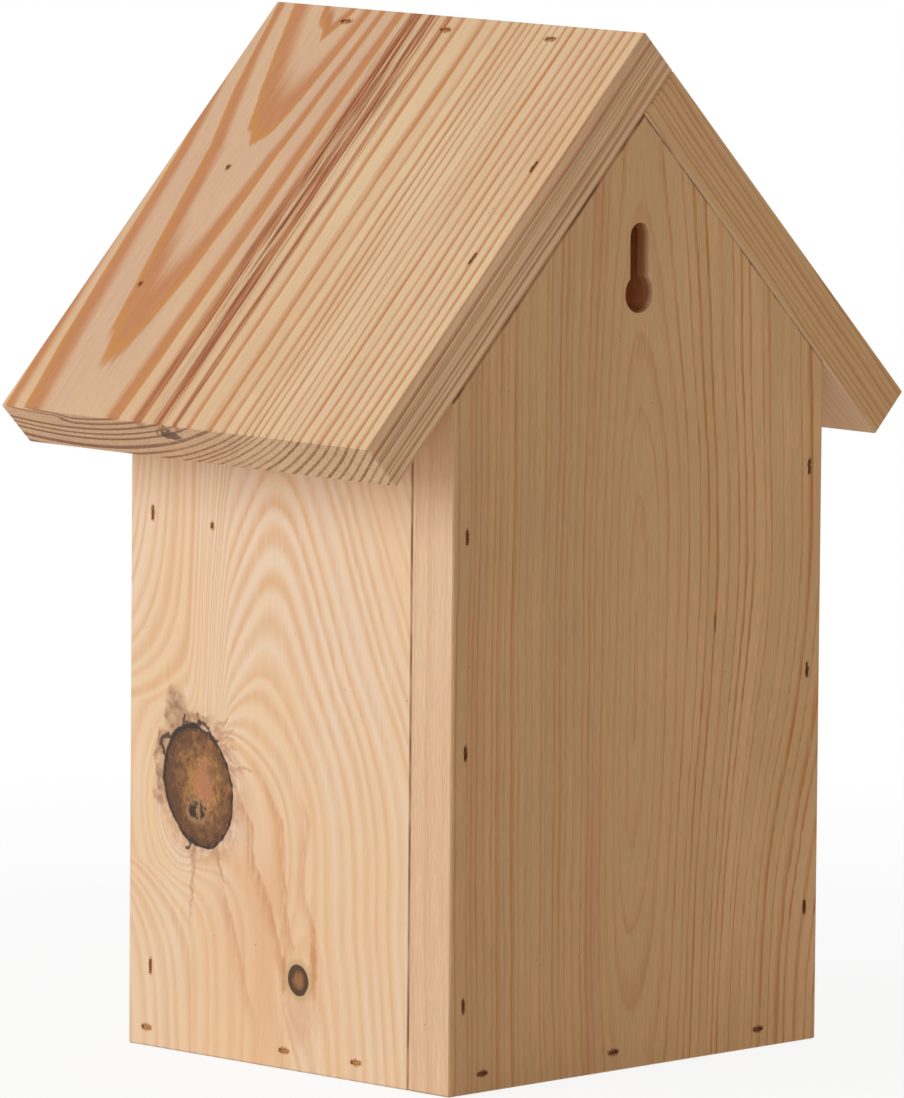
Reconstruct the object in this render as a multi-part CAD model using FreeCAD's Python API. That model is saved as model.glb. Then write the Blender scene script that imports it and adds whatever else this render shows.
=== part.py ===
import FreeCAD
import Part
import math
import os

# Bee hotel: a stapled pine house with a 45 degree saddle roof, hung by a keyhole slot in its back
# board. The gable holds a drilled nesting block, and the open front below it holds bamboo canes,
# each closed at the rear by its own node.
# Millimetres. +Z is up, the front faces -Y, and the origin is under the middle of the roof.

Vector = FreeCAD.Vector

# Boards
BOARD = 18.0              # thickness of the planed stock that every board is cut from
BODY_WIDTH = 167.0        # outside of one wall to the outside of the other
WALL_DEPTH = 124.5        # a wall's front edge to the back board
EAVE_HEIGHT = 217.0       # foot to the roof's underside, at a wall's outer face
ROOF_PITCH = 45.0         # degrees from level
EAVE_OVERHANG = 35.4      # down the slope, from a wall's outer face to the roof's lower end
FRONT_OVERHANG = 20.0     # roof's front edge past the walls
EDGE_EASE = 0.5           # chamfer on every board's edges
BEARER_HEIGHT = 18.0      # strips that carry the canes off the floor
BEARER_WIDTH = 18.0

# Nesting block that fills the gable, and its drilled holes
BLOCK_HEIGHT = 160.0      # foot to the block's underside
BLOCK_DEPTH = 60.0
NEST_DIAMETERS = (5.5, 8.0, 5.0, 6.5)   # row by row from below, then again
NEST_DEPTH = 50.0
NEST_PITCH = 28.0         # between rows, and between holes in a row
NEST_MARGIN = 16.0        # least distance of a hole's middle from the block's edges

# Keyhole slot in the back board, routed with an undercut for a screw head
KEYHOLE_HEIGHT = 244.5    # foot to the middle of the round entry
KEYHOLE_OFFSET = 1.8      # to the right of the board's middle line
KEYHOLE_ENTRY = 12.4      # diameter of the round entry and width of the undercut
KEYHOLE_SLOT = 8.2        # width of the slot that the screw's neck runs in
KEYHOLE_TRAVEL = 18.0     # middle of the entry to the middle of the slot's round end
KEYHOLE_LIP = 4.8         # wood left over the undercut
KEYHOLE_DEPTH = 11.0

# Bamboo canes
CANE_SIZES = (            # outside diameter and bore, taken in turn as the stack is filled
    (22.0, 9.5), (32.0, 15.0), (28.0, 13.0), (24.0, 10.5),
    (26.0, 12.0), (34.0, 15.5), (30.0, 14.0), (19.0, 8.0),
)
CANE_GAP = 0.2            # clearance round every cane
CANE_NODE = 9.0           # solid node that closes a cane's rear end
CANE_SET_BACK = 1.5       # least distance of a cane's mouth behind the front edges
CANE_UNEVEN = 3.0         # how much further back the shortest cane ends

# Staples and brads
STAPLE_CROWN = 4.5        # across both legs
STAPLE_LEG = 30.0
STAPLE_WIRE = 1.1         # thickness of the crown and of a leg
STAPLE_BREADTH = 1.2      # width of the wire across the crown
STAPLE_SINK = 0.7         # crown below the surface
STAPLE_INSET = 6.0        # middle of a crown in from the edge that it runs along
BRAD_LENGTH = 34.0
BRAD_WIRE = 1.6           # side of a brad's square section

# Where the staples and brads stand: distances from the edges named, and shares of the way between two ends
RIGHT_REAR_ENDS = (28.0, 43.0)     # above the foot, and below the eave
LEFT_REAR_ENDS = (43.0, 33.0)
REAR_SHARES = (0.0, 0.54, 1.0)
FOOT_ENDS = (27.0, 14.7)           # from the back board's left edge, and from its right edge
FOOT_SHARES = (0.0, 0.53, 1.0)
FLOOR_ENDS = (8.3, 22.7)           # behind a wall's front edge, and in front of its rear edge
FLOOR_SHARES = (0.0, 0.66, 1.0)
FRONT_STAPLE_INSET = 10.0          # behind a wall's front edge
BEARER_STAPLE_RISE = 7.7           # above the floor board
BLOCK_STAPLE_RISE = 10.3           # above the nesting block's underside
BLOCK_BRAD_RISE = 8.6
BLOCK_BRAD_INSET = 36.8            # behind a wall's front edge
RIDGE_ENDS = (35.4, 37.0)          # from the roof's front edge, and from its rear edge
RIDGE_SHARES = (0.0, 0.49, 1.0)
ROOF_BACK_SHARES = (0.33, 0.65)    # of the slope from the inner apex to a wall's outer face
ROOF_BLOCK_SHARE = 0.43
ROOF_BLOCK_INSET = 7.4             # behind a wall's front edge
ROOF_WALL_SHARE = 0.85
ROOF_WALL_INSET = 4.0

# Values that follow
half_width = BODY_WIDTH / 2
half_inside = half_width - BOARD
roof_length = FRONT_OVERHANG + WALL_DEPTH + BOARD
back_y = roof_length / 2
wall_rear_y = back_y - BOARD
front_y = wall_rear_y - WALL_DEPTH
roof_front_y = front_y - FRONT_OVERHANG
pitch = math.radians(ROOF_PITCH)
apex_z = EAVE_HEIGHT + half_width * math.tan(pitch)
covered_slope = half_width / math.cos(pitch)
slope_length = covered_slope + EAVE_OVERHANG
bearer_top = BOARD + BEARER_HEIGHT
apex = Vector(0, 0, apex_z)
ridge = apex + Vector(0, 0, BOARD / math.cos(pitch))


def slope_down(side):
    """Direction down the roof on the right (1) or left (-1) side."""
    return Vector(side * math.cos(pitch), 0, -math.sin(pitch))


def slope_out(side):
    """Outward direction square to the roof on the right (1) or left (-1) side."""
    return Vector(side * math.sin(pitch), 0, math.cos(pitch))


def board_from_outline(points, y_start, y_end):
    """A board cut to an outline in X and Z, with every edge eased."""
    corners = [Vector(p.x, y_start, p.z) for p in points]
    face = Part.Face(Part.makePolygon(corners + corners[:1]))
    solid = face.extrude(Vector(0, y_end - y_start, 0))
    return solid.makeChamfer(EDGE_EASE, solid.Edges)


def board_from_box(x_range, y_range, z_range):
    """A square-cut board between the given limits."""
    outline = [Vector(x, 0, z) for x, z in (
        (x_range[0], z_range[0]), (x_range[1], z_range[0]),
        (x_range[1], z_range[1]), (x_range[0], z_range[1]))]
    return board_from_outline(outline, *y_range)


def gable_outline(half, foot):
    """Outline of an upright board that fills the house up to the roof."""
    shoulder = apex_z - half * math.tan(pitch)
    return [Vector(-half, 0, foot), Vector(half, 0, foot), Vector(half, 0, shoulder),
            apex, Vector(-half, 0, shoulder)]


def wall_outline(side):
    """Outline of a side wall, with its top planed to the roof's pitch."""
    outer = side * half_width
    inner = side * half_inside
    inner_top = EAVE_HEIGHT + BOARD * math.tan(pitch)
    return [Vector(inner, 0, 0), Vector(outer, 0, 0), Vector(outer, 0, EAVE_HEIGHT),
            Vector(inner, 0, inner_top)]


def roof_outline(side):
    """Outline of a roof panel; the right one laps over the upper end of the left one."""
    lap = apex - slope_down(1) * (BOARD / math.sin(2 * pitch))
    lower_inner = apex + slope_down(side) * slope_length
    lower_outer = lower_inner + slope_out(side) * BOARD
    if side > 0:
        return [lower_inner, lower_outer, ridge, lap]
    return [lower_inner, lower_outer, lap, apex]


def keyhole_cutter():
    """The space that the keyhole router bit clears in the back board."""
    low = Vector(KEYHOLE_OFFSET, back_y, KEYHOLE_HEIGHT)
    high = low + Vector(0, 0, KEYHOLE_TRAVEL)
    inward = Vector(0, -1, 0)

    def slot(width, start, depth):
        radius = width / 2
        step = inward * start
        span = Part.makeBox(width, depth, KEYHOLE_TRAVEL)
        span.translate(low + step + Vector(-radius, -depth, 0))
        return span.fuse(Part.makeCylinder(radius, depth, high + step, inward))

    entry = Part.makeCylinder(KEYHOLE_ENTRY / 2, KEYHOLE_DEPTH, low, inward)
    neck = slot(KEYHOLE_SLOT, 0, KEYHOLE_LIP)
    undercut = slot(KEYHOLE_ENTRY, KEYHOLE_LIP, KEYHOLE_DEPTH - KEYHOLE_LIP)
    return entry.fuse([neck, undercut])


def nest_holes():
    """Middles and radii of the nesting block's holes, in staggered rows under the roof."""
    holes = []
    z = BLOCK_HEIGHT + NEST_PITCH
    row = 0
    while apex_z - z > NEST_MARGIN:
        reach = min(half_inside, (apex_z - z) / math.tan(pitch)) - NEST_MARGIN
        radius = NEST_DIAMETERS[row % len(NEST_DIAMETERS)] / 2
        x = 0.0 if row % 2 else NEST_PITCH / 2
        while x <= reach:
            holes += [(side * x, z, radius) for side in ((1, -1) if x else (1,))]
            x += NEST_PITCH
        z += NEST_PITCH
        row += 1
    return holes


def nesting_block():
    """The gable's thick block, with rows of holes drilled from its face."""
    block = board_from_outline(gable_outline(half_inside, BLOCK_HEIGHT), front_y, front_y + BLOCK_DEPTH)
    drills = [Part.makeCylinder(radius, NEST_DEPTH, Vector(x, front_y, z), Vector(0, 1, 0))
              for x, z, radius in nest_holes()]
    return block.cut(drills)


def stack_canes():
    """Middles and sizes of the canes, each at the lowest seat it finds between two neighbours."""
    floor_z = bearer_top + CANE_GAP
    ceiling_z = BLOCK_HEIGHT - CANE_GAP
    wall_x = half_inside - CANE_GAP
    slack = 1e-6
    radii = [outside / 2 for outside, _ in CANE_SIZES]
    placed = []

    def is_free(x, z, radius):
        inside = abs(x) <= wall_x - radius + slack
        inside = inside and floor_z + radius - slack <= z <= ceiling_z - radius + slack
        return inside and all(
            math.hypot(x - cx, z - cz) >= radius + radii[c] + CANE_GAP - slack for cx, cz, c in placed)

    def seats(radius):
        lowest = floor_z + radius
        side = wall_x - radius
        found = [(-side, lowest), (side, lowest)]
        for index, (ax, az, a) in enumerate(placed):
            reach_a = radius + radii[a] + CANE_GAP
            across = reach_a ** 2 - (lowest - az) ** 2
            if across >= 0:
                found += [(ax - math.sqrt(across), lowest), (ax + math.sqrt(across), lowest)]
            for wall in (-side, side):
                up = reach_a ** 2 - (wall - ax) ** 2
                if up >= 0:
                    found.append((wall, az + math.sqrt(up)))
            for bx, bz, b in placed[:index]:
                reach_b = radius + radii[b] + CANE_GAP
                apart = math.hypot(bx - ax, bz - az)
                if abs(reach_a - reach_b) <= apart <= reach_a + reach_b:
                    along = (reach_a ** 2 - reach_b ** 2 + apart ** 2) / (2 * apart)
                    off = math.sqrt(max(0.0, reach_a ** 2 - along ** 2))
                    ux, uz = (bx - ax) / apart, (bz - az) / apart
                    found.append((ax + ux * along - uz * off, az + uz * along + ux * off))
                    found.append((ax + ux * along + uz * off, az + uz * along - ux * off))
        return [(z, x) for x, z in found if is_free(x, z, radius)]

    size = 0
    refused = 0
    while refused < len(CANE_SIZES):
        free = seats(radii[size])
        if free:
            z, x = min(free)
            placed.append((x, z, size))
            refused = 0
        else:
            refused += 1
        size = (size + 1) % len(CANE_SIZES)
    return placed


def bamboo_cane(x, z, size, mouth_y):
    """A length of cane with its bore open at the front and stopped by the node at the rear."""
    outside, bore = CANE_SIZES[size]
    length = wall_rear_y - mouth_y
    backward = Vector(0, 1, 0)
    mouth = Vector(x, mouth_y, z)
    culm = Part.makeCylinder(outside / 2, length, mouth, backward)
    return culm.cut(Part.makeCylinder(bore / 2, length - CANE_NODE, mouth, backward))


def staple(point, along, outward):
    """A driven staple, and the space that it and its driver take up in the boards."""
    half = STAPLE_CROWN / 2
    inner = half - STAPLE_WIRE
    tip = STAPLE_SINK + STAPLE_LEG
    across = outward.cross(along).normalize()
    profile = [(-half, STAPLE_SINK), (half, STAPLE_SINK), (half, tip), (inner, tip - STAPLE_WIRE),
               (inner, STAPLE_SINK + STAPLE_WIRE), (-inner, STAPLE_SINK + STAPLE_WIRE),
               (-inner, tip - STAPLE_WIRE), (-half, tip)]
    slot = [(-half, -STAPLE_WIRE), (half, -STAPLE_WIRE), (half, STAPLE_SINK), (-half, STAPLE_SINK)]

    def prism(outline):
        start = point - across * (STAPLE_BREADTH / 2)
        corners = [start + along * u - outward * depth for u, depth in outline]
        return Part.Face(Part.makePolygon(corners + corners[:1])).extrude(across * STAPLE_BREADTH)

    wire = prism(profile)
    return wire, wire.fuse(prism(slot))


def brad(point, along, outward):
    """A driven brad, and the space that it and its driver take up in the boards."""
    across = outward.cross(along).normalize()
    corners = [point + along * (u * BRAD_WIRE / 2) + across * (v * BRAD_WIRE / 2)
               for u, v in ((-1, -1), (1, -1), (1, 1), (-1, 1))]
    section = Part.Face(Part.makePolygon(corners + corners[:1]))
    pin = section.extrude(outward * -BRAD_LENGTH)
    pin.translate(outward * -STAPLE_SINK)
    return pin, section.extrude(outward * -(BRAD_LENGTH + STAPLE_SINK))


def places(start, end, shares):
    """Positions at shares of the way from start to end."""
    return [start + (end - start) * share for share in shares]


nodes = {}
inside_x = (-half_inside, half_inside)
inside_y = (front_y, wall_rear_y)
nodes["back_board"] = board_from_outline(gable_outline(half_width, 0), wall_rear_y, back_y)
nodes["back_board"] = nodes["back_board"].cut(keyhole_cutter())
nodes["right_wall"] = board_from_outline(wall_outline(1), *inside_y)
nodes["left_wall"] = board_from_outline(wall_outline(-1), *inside_y)
nodes["floor_board"] = board_from_box(inside_x, inside_y, (0, BOARD))
bearer_z = (BOARD, bearer_top)
nodes["front_bearer"] = board_from_box(inside_x, (front_y, front_y + BEARER_WIDTH), bearer_z)
nodes["rear_bearer"] = board_from_box(inside_x, (wall_rear_y - BEARER_WIDTH, wall_rear_y), bearer_z)
nodes["nesting_block"] = nesting_block()
nodes["right_roof_panel"] = board_from_outline(roof_outline(1), roof_front_y, back_y)
nodes["left_roof_panel"] = board_from_outline(roof_outline(-1), roof_front_y, back_y)

# Bamboo canes, each standing back from the front edges by its own small amount, in one node for
# each quarter of the width
golden_step = (math.sqrt(5) - 1) / 2
quarters = ("far_left_canes", "left_canes", "right_canes", "far_right_canes")
groups = {}
for count, (x, z, size) in enumerate(stack_canes()):
    mouth_y = front_y + CANE_SET_BACK + CANE_UNEVEN * (count * golden_step % 1)
    quarter = quarters[math.floor(len(quarters) * (x + half_inside) / (2 * half_inside))]
    groups.setdefault(quarter, []).append(bamboo_cane(x, z, size, mouth_y))

# Staples and brads, each with the boards that it is driven into
fixings = []
axis_x = Vector(1, 0, 0)
axis_y = Vector(0, 1, 0)
axis_z = Vector(0, 0, 1)
for side, wall, ends in ((1, "right_wall", RIGHT_REAR_ENDS), (-1, "left_wall", LEFT_REAR_ENDS)):
    roof = wall.replace("wall", "roof_panel")
    outward = axis_x * side
    x_in_wall = side * (half_width - STAPLE_INSET)
    for z in places(ends[0], EAVE_HEIGHT - ends[1], REAR_SHARES):
        at = Vector(x_in_wall, back_y, z)
        fixings.append(("back_wall_staples", staple(at, axis_z, axis_y), ("back_board", wall)))
    for y in places(front_y + FLOOR_ENDS[0], wall_rear_y - FLOOR_ENDS[1], FLOOR_SHARES):
        at = Vector(side * half_width, y, STAPLE_INSET)
        fixings.append(("wall_floor_staples", staple(at, axis_y, outward), (wall, "floor_board")))
    staple_y = front_y + FRONT_STAPLE_INSET
    at = Vector(side * half_width, staple_y, BOARD + BEARER_STAPLE_RISE)
    fixings.append(("front_bearer_staples", staple(at, axis_z, outward), (wall, "front_bearer")))
    at = Vector(side * half_width, staple_y, BLOCK_HEIGHT + BLOCK_STAPLE_RISE)
    fixings.append(("block_wall_staples", staple(at, axis_z, outward), (wall, "nesting_block")))
    at = Vector(side * half_width, front_y + BLOCK_BRAD_INSET, BLOCK_HEIGHT + BLOCK_BRAD_RISE)
    fixings.append(("block_brads", brad(at, axis_z, outward), (wall, "nesting_block")))
    down = slope_down(side)
    out = slope_out(side)
    roof_origin = apex + out * BOARD
    for share in ROOF_BACK_SHARES:
        at = roof_origin + down * (covered_slope * share) + axis_y * (back_y - BOARD / 2)
        fixings.append(("roof_back_staples", staple(at, down, out), (roof, "back_board")))
    at = roof_origin + down * (covered_slope * ROOF_BLOCK_SHARE) + axis_y * (front_y + ROOF_BLOCK_INSET)
    fixings.append(("roof_front_brads", brad(at, down, out), (roof, "nesting_block")))
    at = roof_origin + down * (covered_slope * ROOF_WALL_SHARE) + axis_y * (front_y + ROOF_WALL_INSET)
    fixings.append(("roof_front_brads", brad(at, down, out), (roof, wall, "nesting_block")))

for x in places(-half_width + FOOT_ENDS[0], half_width - FOOT_ENDS[1], FOOT_SHARES):
    at = Vector(x, back_y, STAPLE_INSET)
    boards = ("back_board", "floor_board", "right_wall")
    fixings.append(("back_foot_staples", staple(at, axis_x, axis_y), boards))

ridge_line = ridge + slope_down(1) * STAPLE_INSET
for y in places(roof_front_y + RIDGE_ENDS[0], back_y - RIDGE_ENDS[1], RIDGE_SHARES):
    at = ridge_line + axis_y * y
    panels = ("right_roof_panel", "left_roof_panel")
    fixings.append(("ridge_staples", staple(at, axis_y, slope_out(1)), panels))

for group, (solid, space), boards in fixings:
    groups.setdefault(group, []).append(solid)
    for board in boards:
        nodes[board] = nodes[board].cut(space)
for group, solids in groups.items():
    nodes[group] = Part.makeCompound(solids)

os.makedirs("parts", exist_ok=True)
for name, shape in nodes.items():
    shape.exportStep(f"parts/{name}.step")
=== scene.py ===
import math

import bmesh
import bpy
from mathutils import Matrix, Vector


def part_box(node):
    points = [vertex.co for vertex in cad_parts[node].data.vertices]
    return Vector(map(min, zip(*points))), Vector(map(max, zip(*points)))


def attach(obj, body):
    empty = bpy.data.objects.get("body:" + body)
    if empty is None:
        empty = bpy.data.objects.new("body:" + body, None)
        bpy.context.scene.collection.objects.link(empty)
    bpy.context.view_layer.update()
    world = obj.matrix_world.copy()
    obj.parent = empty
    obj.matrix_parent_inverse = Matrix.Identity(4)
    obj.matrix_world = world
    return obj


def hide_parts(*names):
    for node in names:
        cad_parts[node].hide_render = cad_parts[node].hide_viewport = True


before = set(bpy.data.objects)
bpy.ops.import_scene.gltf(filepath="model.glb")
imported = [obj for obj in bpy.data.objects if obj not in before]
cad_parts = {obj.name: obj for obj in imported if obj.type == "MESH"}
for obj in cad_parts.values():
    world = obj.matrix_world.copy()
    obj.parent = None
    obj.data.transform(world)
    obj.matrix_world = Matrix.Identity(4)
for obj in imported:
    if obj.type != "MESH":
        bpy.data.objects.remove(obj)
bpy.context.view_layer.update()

bl_info = {
    "name": "Bee hotel",
    "version": (1, 0, 0),
    "blender": (4, 5, 0),
    "location": "View3D > Sidebar > Bee Hotel",
    "description": "Dresses a stapled pine bee hotel in knotted wood, bamboo and wire",
    "category": "Object",
}

MM = 0.001
SLANT = math.sqrt(0.5)          # both parts of a direction along the 45 degree roof

# Where the photograph was taken from, in millimetres and degrees
VIEW_POINT = Vector((0.0, 11.25, 150.0))
VIEW_AZIMUTH = 134.193
VIEW_ELEVATION = 7.163
VIEW_ROLL = 0.505
VIEW_DISTANCE = 3781.4
VIEW_LENS = 391.66
VIEW_OFFSET = (-8.70, 7.57)     # aim beside the view point, to the right and up
SENSOR_WIDTH = 36.0

# Floor and lamp, in metres
FLOOR_RADIUS = 6.0
FLOOR_DROP = 0.2 * MM           # keeps the floor clear of the base
LAMP_SIZE = 1.3
LAMP_PLACE = Vector((1.6, -0.75, 0.75))
LAMP_AIM = Vector((0.0, 0.0, 0.16))

WOOD_RELIEF = 0.25 * MM
CANE_RELIEF = 0.3 * MM
CANE_SIDES = 56
COLOUR = {"subtype": "COLOR", "size": 4, "min": 0, "max": 1}


def srgb(red, green, blue):
    """A linear colour from the usual 0 to 255 values."""
    def channel(value):
        value /= 255
        return value / 12.92 if value <= 0.04045 else ((value + 0.055) / 1.055) ** 2.4
    return (channel(red), channel(green), channel(blue), 1.0)


class Nodes:
    """Fills a node tree, one node to a call, and hands back output sockets."""

    def __init__(self, tree):
        self.tree = tree

    def feed(self, socket, value):
        """Links an output to the socket, or sets the socket's own value."""
        if isinstance(value, bpy.types.NodeSocket):
            self.tree.links.new(value, socket)
        else:
            socket.default_value = value

    def add(self, kind, inputs=None, **settings):
        """A new node with its settings and inputs filled in."""
        node = self.tree.nodes.new(kind)
        for name, value in settings.items():
            setattr(node, name, value)
        for name, value in (inputs or {}).items():
            self.feed(node.inputs[name], value)
        return node

    def group(self, name, inputs):
        return self.add("ShaderNodeGroup", inputs, node_tree=bpy.data.node_groups[name]).outputs

    def math(self, operation, *values):
        return self.add("ShaderNodeMath", dict(enumerate(values)), operation=operation).outputs[0]

    def fold(self, operation, first, *others):
        """One value from several, taken in order."""
        for other in others:
            first = self.math(operation, first, other)
        return first

    def plus(self, *values):
        return self.fold("ADD", *values)

    def minus(self, *values):
        return self.fold("SUBTRACT", *values)

    def times(self, *values):
        return self.fold("MULTIPLY", *values)

    def over(self, *values):
        return self.fold("DIVIDE", *values)

    def least(self, *values):
        return self.fold("MINIMUM", *values)

    def most(self, *values):
        return self.fold("MAXIMUM", *values)

    def mad(self, value, factor, base):
        """The value times the factor, plus the base."""
        return self.math("MULTIPLY_ADD", value, factor, base)

    def hypot(self, a, b):
        """The long side of a right triangle."""
        return self.math("SQRT", self.mad(a, a, self.times(b, b)))

    def bow(self, value, middle, span):
        """0 at the middle, and rising nearly straight beyond the span."""
        offset = self.over(self.minus(value, middle), span)
        return self.minus(self.math("SQRT", self.mad(offset, offset, 1.0)), 1.0)

    def beyond(self, value, limit):
        """How far the value lies above the limit, or 0."""
        return self.most(self.minus(value, limit), 0.0)

    def smooth(self, value, low, high, start=0.0, end=1.0):
        """A soft step from start to end as the value goes from low to high."""
        return self.add("ShaderNodeMapRange", {
            "Value": value, "From Min": low, "From Max": high, "To Min": start, "To Max": end},
            interpolation_type="SMOOTHSTEP").outputs[0]

    def band(self, value, low, high, soft):
        """1 between low and high, and 0 beyond, with soft sides."""
        return self.times(self.smooth(value, low - soft, low + soft),
                          self.smooth(value, high - soft, high + soft, 1.0, 0.0))

    def curve(self, value, points):
        """A value read off a straight-sided line through points from 0 to 1 on both axes."""
        node = self.add("ShaderNodeFloatCurve", {"Value": value})
        line = node.mapping.curves[0]
        line.points[0].location = points[0]
        line.points[1].location = points[-1]
        for point in points[1:-1]:
            line.points.new(*point)
        for point in line.points:
            point.handle_type = "VECTOR"
        node.mapping.update()
        return node.outputs["Value"]

    def vector(self, operation, *values):
        node = self.add("ShaderNodeVectorMath", dict(enumerate(values)), operation=operation)
        return node.outputs["Value" if operation in ("DOT_PRODUCT", "LENGTH") else "Vector"]

    def join(self, x, y, z):
        return self.add("ShaderNodeCombineXYZ", {"X": x, "Y": y, "Z": z}).outputs[0]

    def split(self, vector):
        return self.add("ShaderNodeSeparateXYZ", {"Vector": vector}).outputs

    def here(self):
        """The shaded point's place, in metres."""
        return self.add("ShaderNodeTexCoord").outputs["Object"]

    def here_mm(self):
        """The shaded point's place, in millimetres."""
        return self.vector("MULTIPLY", self.here(), (1 / MM, 1 / MM, 1 / MM))

    def square_to(self, axis, low, high):
        """1 on faces square to an axis, 0 on the others."""
        normal = self.add("ShaderNodeNewGeometry").outputs["Normal"]
        return self.smooth(self.math("ABSOLUTE", self.vector("DOT_PRODUCT", normal, axis)), low, high)

    def clouds(self, vector, size, detail, roughness=0.5):
        """Outputs of a noise; size is the pattern's length in the vector's units, by axis."""
        scaled = self.vector("MULTIPLY", vector, tuple(1 / s for s in size))
        return self.add("ShaderNodeTexNoise", {
            "Vector": scaled, "Scale": 1.0, "Detail": detail, "Roughness": roughness}).outputs

    def noise(self, vector, size, detail=2.0, roughness=0.5):
        """Cloudy values round 0.5."""
        return self.clouds(vector, size, detail, roughness)["Fac"]

    def stray(self, vector, size, detail=2.0, roughness=0.5):
        """Cloudy values round 0."""
        return self.minus(self.noise(vector, size, detail, roughness), 0.5)

    def sway(self, vector, size, detail):
        """Cloudy vectors round 0."""
        return self.vector("SUBTRACT", self.clouds(vector, size, detail)["Color"], (0.5, 0.5, 0.5))

    def broken(self, place, size, least):
        """A strength that comes and goes from place to place, between the least and 1."""
        return self.smooth(self.noise(place, (size, size, size)), 0.35, 0.6, least, 1.0)

    def cells(self, vector, rate, randomness=1.0):
        """Outputs of a cell pattern; rate is the number of cells to a unit, by axis."""
        return self.add("ShaderNodeTexVoronoi", {
            "Vector": self.vector("MULTIPLY", vector, rate), "Scale": 1.0,
            "Randomness": randomness}).outputs

    def blend(self, factor, first, second, mode="MIX"):
        """The first colour where the factor is 0, and the second where it is 1."""
        return self.add("ShaderNodeMix", {0: factor, 6: first, 7: second}, data_type="RGBA",
                        blend_type=mode).outputs[2]

    def paint(self, colour, ratio, fade, paint):
        """A colour painted over where a ratio is small; fade is near, far and strength."""
        near, far, strength = fade
        return self.blend(self.smooth(ratio, near, far, strength, 0.0), colour, paint)

    def stain(self, colour, paint):
        """A colour seen through a thin coat of another."""
        return self.blend(1.0, colour, paint, "MULTIPLY")

    def tone(self, colour, value):
        """A colour made lighter or darker by a value."""
        return self.stain(colour, self.join(value, value, value))

    def ramp(self, value, stops):
        """A colour that goes through the given (position, colour) stops, in rising order."""
        node = self.add("ShaderNodeValToRGB", {"Fac": value})
        elements = node.color_ramp.elements
        elements[0].position, elements[0].color = stops[0]
        elements[1].position, elements[1].color = stops[-1]
        for position, colour in stops[1:-1]:
            elements.new(position).color = colour
        return node.outputs["Color"]

    def mark(self, place, across, along, half_width, half_height):
        """How far out a place lies in an upright ellipse on a board's face."""
        return self.group("Mark", {
            "Place": place, "Across": across, "Along": along, "Half width": half_width,
            "Half height": half_height})["Ratio"]

    def wander(self, place, sideways, lengthways, ripple):
        """The place moved a little to and fro."""
        return self.group("Wander", {
            "Place": place, "Sideways": sideways, "Lengthways": lengthways, "Ripple": ripple})["Place"]

    def growth(self, place, middle, arch_rise, arch_span, climb, depth_rate):
        """How far a place lies from the heart of the tree, counted in rings."""
        return self.group("Growth rings", {
            "Place": place, "Middle": middle, "Arch rise": arch_rise, "Arch span": arch_span,
            "Climb": climb, "Depth rate": depth_rate})["Rings"]


def new_group(name, inputs, outputs):
    """An empty shader node group with the given sockets, and its filler, inputs and output node."""
    tree = bpy.data.node_groups.new(name, "ShaderNodeTree")
    kinds = {"value": "NodeSocketFloat", "vector": "NodeSocketVector", "colour": "NodeSocketColor"}
    for socket, kind in inputs.items():
        tree.interface.new_socket(socket, in_out="INPUT", socket_type=kinds[kind])
    for socket, kind in outputs.items():
        tree.interface.new_socket(socket, in_out="OUTPUT", socket_type=kinds[kind])
    nodes = Nodes(tree)
    return nodes, nodes.add("NodeGroupInput").outputs, nodes.add("NodeGroupOutput").inputs


def make_wander_group():
    """Moves a place a little to and fro, so that straight lines come out as they grow."""
    n, given, out = new_group("Wander", {
        "Place": "vector", "Sideways": "value", "Lengthways": "value", "Ripple": "value"},
        {"Place": "vector"})
    drift = n.sway(given["Place"], (46, 46, 120), 1.5)
    ripple = n.sway(given["Place"], (13, 13, 50), 1.0)
    far = n.join(given["Sideways"], n.times(given["Sideways"], 0.4), given["Lengthways"])
    near = n.join(given["Ripple"], n.times(given["Ripple"], 0.4), 0.0)
    shift = n.vector("ADD", n.vector("MULTIPLY", drift, far), n.vector("MULTIPLY", ripple, near))
    n.feed(out["Place"], n.vector("ADD", given["Place"], shift))


def make_ring_group():
    """How far a point of a board lies from the heart of the tree, counted in rings."""
    n, given, out = new_group("Growth rings", {
        "Place": "vector", "Middle": "value", "Arch rise": "value", "Arch span": "value",
        "Climb": "value", "Depth rate": "value"}, {"Rings": "value"})
    x, y, z = n.split(given["Place"])
    rings = n.times(n.bow(x, given["Middle"], given["Arch span"]), given["Arch rise"])
    rings = n.mad(z, given["Climb"], rings)
    n.feed(out["Rings"], n.mad(y, given["Depth rate"], rings))


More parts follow.
